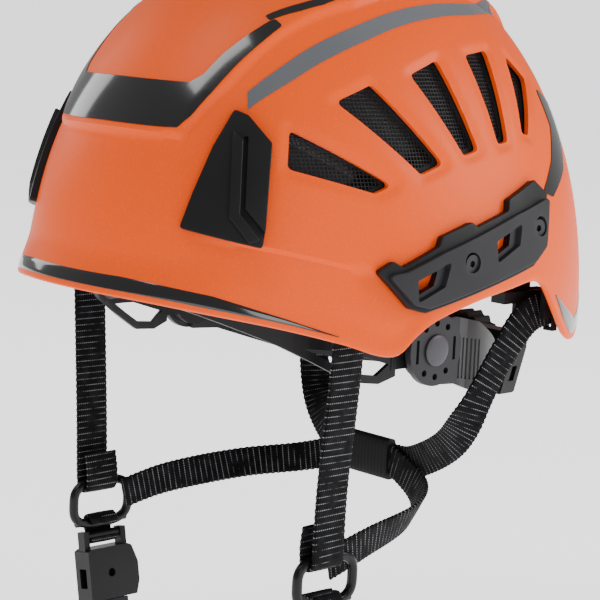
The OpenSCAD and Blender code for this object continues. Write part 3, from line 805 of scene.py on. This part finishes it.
RAIL = [[-50, 29], [-43, 33], [-39, 30.5], [-22, 38], [-20, 42], [-4, 47], [-1, 45], [18, 50.5],
        [19, 55], [38, 62], [47, 56], [42, 33], [33, 27], [-29, 12], [-36, 14]]
FACE = [[-46.5, 27.5], [-38.5, 28.6], [-21, 35.6], [0, 42.2], [20, 48.4], [42.5, 54], [44.5, 53], [40, 34.5],
        [32, 29], [-28.5, 14], [-35, 15.5]]
WINDOWS = [[[-33, 17.5], [-33, 25], [-19, 31], [-22, 22.5]], [[8, 31], [8, 38.5], [22, 44], [20, 36.5]]]
SCREWS = [[-7, 31], [36, 43]]


def circle(centre, r):
    n = 32
    return [[centre[0] + r * math.cos(2 * math.pi * k / n), centre[1] + r * math.sin(2 * math.pi * k / n)]
            for k in range(n)]


def make_rail(name, mirror):
    """The rail's dark border plate and its raised face, with windows and screw recesses through both."""
    plate = bm_object("rail", prism(round_corners(RAIL, 1.6), -0.4, 3.2, bevel=0.7))
    face = bm_object("face", prism(round_corners(FACE, 2.4), 2.6, 5.6, bevel=1.9))
    made = []
    for part, label, mat in ((plate, "accessory_rail_border_", CLIP_BLACK),
                             (face, "accessory_rail_face_", RAIL_GREY)):
        cuts = []
        for w in WINDOWS:
            c = np.mean(w, axis=0)
            hole = [c + (np.array(q) - c) * 0.72 + [-2.2, -0.2] for q in w]
            cuts.append(bm_object("window", prism(round_corners(hole, 0.6, 2), -2, 7)))
            cuts.append(bm_object("recess", prism(round_corners(w, 0.8, 2), 3.4, 7, top_spread=0.25)))
        for q in SCREWS:
            cuts.append(bm_object("bore", prism(circle(q, 4.1), 2.3, 8)))
        cut(part, cuts)
        made.append(wrapped(label + name, to_bmesh(part), "side", mat, 3, mirror, 25, bridging=True))
    return made


def make_rear_clip():
    """The hook for the lamp's band: a plate, a foot below and a flap that stands off the plate."""
    def block(name, outline, corner, low, high, bevel):
        return bm_object(name, prism(round_corners(outline, corner), low, high, bevel=bevel))

    plate = block("plate", [[-11, 56], [11, 56], [9.5, 90], [-9.5, 90]], 3, -0.5, 3, 0.6)
    foot = block("foot", [[-11, 56], [11, 56], [11, 63], [-11, 63]], 1.5, 1, 7.5, 0.8)
    hook = block("hook", [[-11, 57], [11, 57], [9.5, 82], [-9.5, 82]], 3, 6, 7.8, 0.5)
    cut(plate, [foot], "UNION")
    cut(plate, [hook], "UNION")
    return wrapped("rear_lamp_hook", to_bmesh(plate), "rear", CLIP_BLACK, 3, bridging=True)


for name, sign in SIDES:
    put(make_clip(name, sign < 0), "helmet", "lamp_clip_" + name)
    border, rail_face = make_rail(name, sign < 0)
    put(border, "helmet", "accessory_rail_" + name)
    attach(rail_face, "helmet")
put(make_rear_clip(), "helmet", "rear_lamp_clip")

# ---------------------------------------------------------------- webbing


FRONT_W, REAR_W, LOWER_W, CHIN_W = 17, 15, 14, 15  # widths of the webbing
RIB, SCALLOP = 1.4, 2.8  # pitch of the ribs, and of the waves along the edges


def ribbon(name, points, ups, width, thick=1.4, per_span=8):
    """Webbing along a path, in millimetres: ribbed, with scalloped edges and an (along, across) UV."""
    p, u = curve(points, per_span), curve(ups, per_span)
    gap = np.linalg.norm(np.diff(p, axis=0), axis=1)
    s = np.concatenate([[0], np.cumsum(gap)])
    n = max(8, int(s[-1] / 0.7))
    at = np.linspace(0, s[-1], n)
    p = np.column_stack([np.interp(at, s, p[:, k]) for k in range(3)])
    u = np.column_stack([np.interp(at, s, u[:, k]) for k in range(3)])
    d = np.gradient(p, axis=0)
    d /= np.linalg.norm(d, axis=1, keepdims=True)
    m = np.cross(d, u)
    m /= np.linalg.norm(m, axis=1, keepdims=True)
    u = np.cross(m, d)
    ribs = 0.10 * np.abs(np.sin(math.pi * at / RIB))
    scallop = 0.22 * np.cos(2 * math.pi * at / SCALLOP)
    across = np.array([-1, -0.94, -0.7, -0.35, 0, 0.35, 0.7, 0.94, 1])
    crown = 0.12 * (1 - across**2)
    verts, uvs = [], []
    for side in (1, -1):
        for a, c in zip(across, crown):
            body = thick / 2 * (0.55 if abs(a) == 1 else 1)
            half = width / 2 * a + (scallop * a if abs(a) > 0.9 else 0)
            verts.append(p + u * np.reshape(half, (-1, 1)) * np.ones((n, 1))
                         + m * (side * (body + c + ribs * (abs(a) < 1)))[:, None])
            uvs.append(np.column_stack([at * MM, np.full(n, width / 2 * a * MM)]))
    k = len(across)
    order = list(range(k)) + list(range(2 * k - 1, k - 1, -1))
    verts = np.stack([verts[i] for i in order], 1)
    uvs = np.stack([uvs[i] for i in order], 1)
    ring = 2 * k
    faces = grid_faces(n, ring, closed=True)
    faces += [tuple(range(ring))[::-1], tuple(range((n - 1) * ring, n * ring))]
    obj = make_object(name, verts.reshape(-1, 3) * MM, faces, WEB, 60)
    layer = obj.data.uv_layers.new(name="web")
    flat = uvs.reshape(-1, 2)
    loops = np.zeros(len(obj.data.loops), int)
    obj.data.loops.foreach_get("vertex_index", loops)
    layer.data.foreach_set("uv", flat[loops].ravel())
    return obj


def mirrored(points):
    return [[-x, y, z] for x, y, z in points]


def both(name, node, points, ups, width):
    """A strap on each side; the right one is the left one's mirror image."""
    straps = [ribbon(name + "_left", points, ups, width),
              ribbon(name + "_right", mirrored(points), mirrored(ups), width)]
    for (side, _), strap in zip(SIDES, straps):
        put(strap, "helmet", node + side)


# the dividers, the buckle's bars and the lean of the buckle, in millimetres and degrees
RING = np.array([76.0, -50, -102])
BAR = RING + [0, 0, -9]
TOP_BAR = RING + [0, 0, 10]
TILT = 11
LEAN = np.array([-math.sin(math.radians(TILT)), 0, math.cos(math.radians(TILT))])
LINK_DROP = 6.5  # from the far divider's bar to the buckle socket's
FAR_BAR = np.array([-76.0, -50, -111])
MOUTH = FAR_BAR - LEAN * (LINK_DROP + 29.8)
LOW_BAR = MOUTH - LEAN * 15.2


def arc_xz(centre, r, start, stop, step):
    """Points on an arc across the helmet, between two angles in degrees."""
    n = max(2, round(abs(stop - start) / step))
    return [centre + r * np.array([math.cos(math.radians(a)), 0, math.sin(math.radians(a))])
            for a in np.linspace(start, stop, n + 1)]


front_path = ([[86, -52.5, 14], [86, -52.5, 2], [84.5, -52.5, -20], [81, -53, -60], TOP_BAR + [4, -2.8, 6]]
              + arc_xz(TOP_BAR + [0, -2.5, 0], 3.8, 0, -180, 30)
              + [TOP_BAR + [-3.8, -2.7, 6], TOP_BAR + [-2.4, -2.9, 14]])
rear_left = [[85.2, 77, 5], [84.6, 73, 4], [84, 57, 0], [81, 44, -18], [76, 34, -40], [57, 41, -60],
             [28, 50, -75], [13, 51.1, -77], [3, 51.1, -77]]
rear_left_ups = [[0, 0, 1], [0, 0, 1], [-0.2, -0.6, 1], [-0.1, -1, 0.9], [-0.2, -0.9, 0.6], [-0.7, -0.5, 0.8],
                 [-0.3, -0.1, 1], [0, 0, 1], [0, 0, 1]]
rear_right = [[-85.4, 61, 5], [-84.6, 73, 4], [-83.7, 78.5, 1.5], [-80.5, 82.5, -12], [-77.5, 82.5, -36],
              [-69, 77.5, -55], [-54, 68.5, -68], [-34, 57.5, -75], [-13, 51.1, -77], [-3, 51.1, -77]]
rear_right_ups = [[0, 0, 1], [0, 0, 1], [0, 0.6, 1], [0.35, 1, 0.1], [0.35, 1, 0.1], [0.5, 1, 0.3],
                  [0.3, 0.6, 0.8], [0.2, 0.2, 1], [0, 0, 1], [0, 0, 1]]
lower_path = [[3, 49, -77], [9, 49, -77], [15, 49, -77.4], [39, 42, -85], [58, 18, -89], [67, -18, -93],
              [69.5, -42, -98]]
lower_ups = [[0, 0, 1], [0, 0, 1], [0, 0, 1], [0.5, 0.2, 1], [0.4, 0.2, 1], [0.1, 0.1, 1], [0, 0.1, 1]]
chin_run = [BAR + [0.8, 0, -6], [62, -54, -128], [41.5, -57.5, -147], [16, -61, -167], [-10, -61, -176],
            [-34, -58, -177], [-52, -53, -172.5], LOW_BAR + [4.4, 0, -5.5]]
chin_path = ([[39, -57, -137], [56, -53.5, -121], BAR + [-5.6, 0, 2.4]]
             + arc_xz(BAR, 3.3, 140, -40, 20) + list(curve(chin_run, 3))
             + arc_xz(LOW_BAR, 3.2, -30, -210, 30))
X_UP, Y_UP, Z_UP = [1, 0, 0], [0, 1, 0], [0, 0, 1]

both("front_webbing", "front_strap_", front_path, [Y_UP] * len(front_path), FRONT_W)
both("lower_webbing", "lower_strap_", lower_path, lower_ups, LOWER_W)
put(ribbon("rear_webbing_left", rear_left, rear_left_ups, REAR_W), "helmet", "rear_strap_left")
put(ribbon("rear_webbing_right", rear_right, rear_right_ups, REAR_W), "helmet", "rear_strap_right")
put(ribbon("chin_webbing", chin_path, [Y_UP] * len(chin_path), CHIN_W, thick=1.1, per_span=3),
    "chin", "chin_strap")

link_low = FAR_BAR - LEAN * LINK_DROP
link_path = (arc_xz(FAR_BAR, 3.1, -TILT, 180 - TILT, 20)
             + arc_xz(link_low, 3.0, 180 - TILT, 352 - TILT, 20))
put(ribbon("buckle_webbing", link_path, [Y_UP] * len(link_path), CHIN_W, thick=1.2, per_span=2),
    "helmet", "buckle_link")

# ---------------------------------------------------------------- pads


def band_pad(name, a_deg, half_w, reach, thick, low, high, channels):
    """A quilted pad inside the headband, between two heights given over the station y, in millimetres.

    It spans two plan angles in degrees, and channels is the number of swells between its sewn lines.
    """
    cols, rows, rest = 160, 18, 0.3
    a = np.radians(np.linspace(*a_deg, cols))
    run = np.linspace(0, 1, cols)
    ends = smooth(run / 0.06) * smooth((1 - run) / 0.06)
    y0 = reach * np.sin(a)
    lo, hi = np.interp(y0, *np.array(low, float).T), np.interp(y0, *np.array(high, float).T)
    quilt = 0.55 + 0.45 * np.abs(np.sin(math.pi * channels * run)) ** 0.5
    outer, inner = [], []
    for k in range(rows + 1):
        t = k / rows
        crown = (1 - abs(2 * t - 1) ** 3.2) * ends * quilt
        z = lo * (1 - t) + hi * t
        for grid, depth in ((outer, 0.15 + 0 * a), (inner, rest + (thick - rest) * crown)):
            grid.append(np.column_stack([(half_w - depth) * np.cos(a), (reach - depth) * np.sin(a), z]))
    obj = strip_solid(name, np.array(inner) * MM, np.array(outer) * MM, KNIT, 60)
    return obj


brow = band_pad("brow_cushion", (212, 328), 75.1, 96.6, 5.2,
                [(-102, 13), (-64, -3), (-38, -6)], [(-102, 33), (-64, 19), (-38, 7)], 7)
put(brow, "helmet", "brow_pad")
nape = band_pad("nape_cushion", (62, 118), 76.5, 95.1, 5.2,
                [(60, -39), (100, -41)], [(60, -20), (100, -20)], 4)
put(nape, "nape_cradle", "nape_pad")


def make_crown_pad():
    """An oval pad under the crown, quilted in rings: a flat face against the liner and a swelled one."""
    rings, cols = 18, 72
    uvw = []
    for swelled in (0, 1):
        for k in range(rings + 1):
            t = k / rings
            for i in range(cols):
                a = 2 * math.pi * i / cols
                swell = (1 - t**4) * (0.72 + 0.28 * abs(math.cos(1.5 * math.pi * t))) * swelled
                uvw.append((34 * t * math.cos(a), 5 + 51 * t * math.sin(a), -18.6 - 8.5 * swell - 0.3))
    p = wrap(np.array(uvw) * MM, "top", bridging=True)
    n, last = (rings + 1) * cols, rings * cols
    faces = grid_faces(rings + 1, cols, closed=True)
    faces += grid_faces(rings + 1, cols, n, closed=True, flip=True)
    faces += [(last + i, last + (i + 1) % cols, n + last + (i + 1) % cols, n + last + i)
              for i in range(cols)]
    obj = make_object("crown_cushion", p, faces, KNIT, 60)
    weld(obj, 0.01)
    shade(obj, 60)
    return obj


put(make_crown_pad(), "helmet", "crown_pad")

# ---------------------------------------------------------------- harness hardware


def sweep(name, path, section, ups, mat, closed=True):
    """A section (list of [across, up]) carried along a path; all in millimetres."""
    p = np.array(path, float)
    d = (np.roll(p, -1, 0) - np.roll(p, 1, 0)) if closed else np.gradient(p, axis=0)
    d /= np.linalg.norm(d, axis=1, keepdims=True)
    u = np.array(ups, float)
    m = np.cross(d, u)
    m /= np.linalg.norm(m, axis=1, keepdims=True)
    sec = np.array(section, float)
    verts = (p[:, None] + m[:, None] * sec[None, :, :1] + u[:, None] * sec[None, :, 1:]).reshape(-1, 3)
    k, n = len(sec), len(p)
    faces = grid_faces(n, k, closed=True)
    if closed:
        faces += [((n - 1) * k + i, (n - 1) * k + (i + 1) % k, (i + 1) % k, i) for i in range(k)]
    else:
        faces += [tuple(range(k))[::-1], tuple(range((n - 1) * k, n * k))]
    return turn_out(make_object(name, verts * MM, faces, mat), 50)


def superellipse(a, b, count, power):
    """Points round an oval that grows squarer with its power."""
    t = np.linspace(0, 2 * np.pi, count, endpoint=False)
    return np.column_stack([a * spow(np.cos(t), 2 / power), b * spow(np.sin(t), 2 / power)])


def make_divider(name, sign):
    """The oval loop that gathers the straps, with its lower bar."""
    loop = superellipse(15.6, 10, 96, 3.2)
    path = [[sign * RING[0], RING[1] + q[0], RING[2] + q[1]] for q in loop]
    section = superellipse(2.1, 2.0, 20, 2.4)
    ring = sweep("divider_ring_" + name, path, section, [X_UP] * len(path), RING_GLOSS)
    bar_path = [[sign * BAR[0], RING[1] + t, BAR[2]] for t in np.linspace(-14, 14, 9)]
    bar_section = superellipse(1.8, 1.8, 16, 2)
    bar = sweep("bar", bar_path, bar_section, [X_UP] * len(bar_path), RING_GLOSS, closed=False)
    cut(ring, [bar], "UNION")
    shade(ring, 50)
    return ring


for name, sign in SIDES:
    put(make_divider(name, sign), "helmet", "strap_divider_" + name)


def make_sleeve():
    """Elastic sleeve round the crossing straps, ribbed along its length."""
    n, mid_y, pitch = 60, 50, 2.2
    path = [[x, mid_y, -77] for x in np.linspace(-13, 13, n)]
    section = superellipse(3.1, 9.6, 40, 4)
    obj = sweep("nape_sleeve", path, section, [Z_UP] * n, RUBBER, closed=False)
    for v in obj.data.vertices:
        k = 1 + 0.025 * math.sin(v.co.x / MM * 2 * math.pi / pitch)
        v.co.y = mid_y * MM + (v.co.y - mid_y * MM) * k
    return obj


put(make_sleeve(), "helmet", "nape_keeper")


def revolve(name, profile, centre, sign, mat):
    """A round piece turned about the X axis; profile is [out along x, radius], in millimetres."""
    n, verts, cx = 64, [], np.array(centre, float)
    for x, r in profile:
        for i in range(n):
            a = 2 * math.pi * i / n
            verts.append([sign * (cx[0] + x), cx[1] + r * math.cos(a), cx[2] + r * math.sin(a)])
    k = len(profile)
    faces = grid_faces(k, n, closed=True) + [tuple(range(n))[::-1], tuple(range((k - 1) * n, k * n))]
    obj = make_object(name, np.array(verts) * MM, faces, mat, 30)
    return turn_out(obj, 30)


pin_lo, pin_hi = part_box("pivot_pins")
pin_centre = [0, (pin_lo.y + pin_hi.y) / 2 / MM, (pin_lo.z + pin_hi.z) / 2 / MM]
CAP = [[72.9, 5], [74.3, 5], [74.31, 3], [82.2, 3], [82.3, 6.4], [82.9, 6.7]] + [
    [82.9 + 1.1 * math.sin(t), 6.7 * math.cos(t)] for t in np.linspace(0.05, 1.5, 10)]
caps = [revolve("pivot_cap_" + name, CAP, pin_centre, sign, CAP_GREY) for name, sign in SIDES]
put(caps[0], "helmet", "pivot_pins")
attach(caps[1], "helmet")

# ---------------------------------------------------------------- shown CAD nodes

CAD_FINISH = {  # material, and the width of the softened edges in millimetres
    "rail_screws": (OXIDE, 0.25), "strap_anchors": (BLACK, 0.5), "strap_keepers": (BLACK, 0.4),
    "hanger_guides": (BLACK, 0.4), "headband_front": (BLACK, 0.35),
    "pivot_disc_left": (DISC_GREY, 0.4), "pivot_disc_right": (DISC_GREY, 0.4),
    "nape_arm_left": (DISC_GREY, 0.3), "nape_arm_right": (DISC_GREY, 0.3),
    "nape_hanger_left": (BLACK, 0.3), "nape_hanger_right": (BLACK, 0.3),
    "adjuster_housing": (BLACK, 0.7), "adjuster_cover": (DISC_GREY, 0.5),
    "size_knob": (RUBBER, 0.5), "drive_pinion": (NATURAL, 0.1), "knob_screw": (STEEL, 0.2),
    "rack_left": (NATURAL, 0.1), "rack_right": (NATURAL, 0.1),
    "buckle_socket": (BUCKLE, 0.6), "buckle_plug": (BUCKLE, 0.5), "chin_adjuster": (BUCKLE, 0.5),
    "strap_tail_keeper": (RUBBER, 0.5),
    "latch_prong_left": (DISC_GREY, 0.3), "latch_prong_right": (DISC_GREY, 0.3),
}
for node, (mat, width) in CAD_FINISH.items():
    obj = bevel_cad(node, width)
    obj.data.materials.clear()
    obj.data.materials.append(mat)

# ---------------------------------------------------------------- floor and light


FLOOR_REACH = 300  # far enough for its edge to stay out of sight


def make_stage():
    """A pale floor just below the part, and the same light from all round."""
    floor_z = cad_box[0].z - 4 * MM
    corners = ((-1, -1), (1, -1), (1, 1), (-1, 1))
    mesh = bpy.data.meshes.new("floor")
    mesh.from_pydata([(x * FLOOR_REACH, y * FLOOR_REACH, floor_z) for x, y in corners], [], [(0, 1, 2, 3)])
    f = Finish("floor_white", (0.9, 0.9, 0.9), 0.7, specular=0.1)
    f.mottle(0.4, (0.92, 0.92, 0.92))
    f.bsdf.inputs["Emission Color"].default_value = (1, 1, 1, 1)
    f.bsdf.inputs["Emission Strength"].default_value = 1.4
    floor = finish_object("floor", mesh, f.done())

    world = bpy.data.worlds.new("studio")
    bpy.context.scene.world = world
    world.use_nodes = True
    sky = world.node_tree.nodes["Background"].inputs
    sky["Color"].default_value = (1, 1, 1, 1)
    sky["Strength"].default_value = 0.4


def area_light(name, location, target, size, power, shape=(1, 1)):
    data = bpy.data.lights.new(name, "AREA")
    data.shape, data.size, data.size_y, data.energy = "RECTANGLE", size * shape[0], size * shape[1], power
    obj = bpy.data.objects.new(name, data)
    bpy.context.scene.collection.objects.link(obj)
    obj.location = location
    obj.rotation_mode = "QUATERNION"
    obj.rotation_quaternion = (Vector(target) - Vector(location)).to_track_quat("-Z", "Y")


make_stage()
area_light("left", (-1.35, -0.25, 0.62), (0, 0, 0.05), 0.55, 3, (0.8, 1.3))
area_light("overhead", (-0.25, -0.62, 1.3), (0, 0, 0.05), 0.6, 7)
area_light("right_rear", (1.05, 1.0, 0.62), (0, 0, 0.03), 0.7, 15)
area_light("camera_right", (1.6, -0.5, 0.5), (0, 0, 0), 0.6, 5)
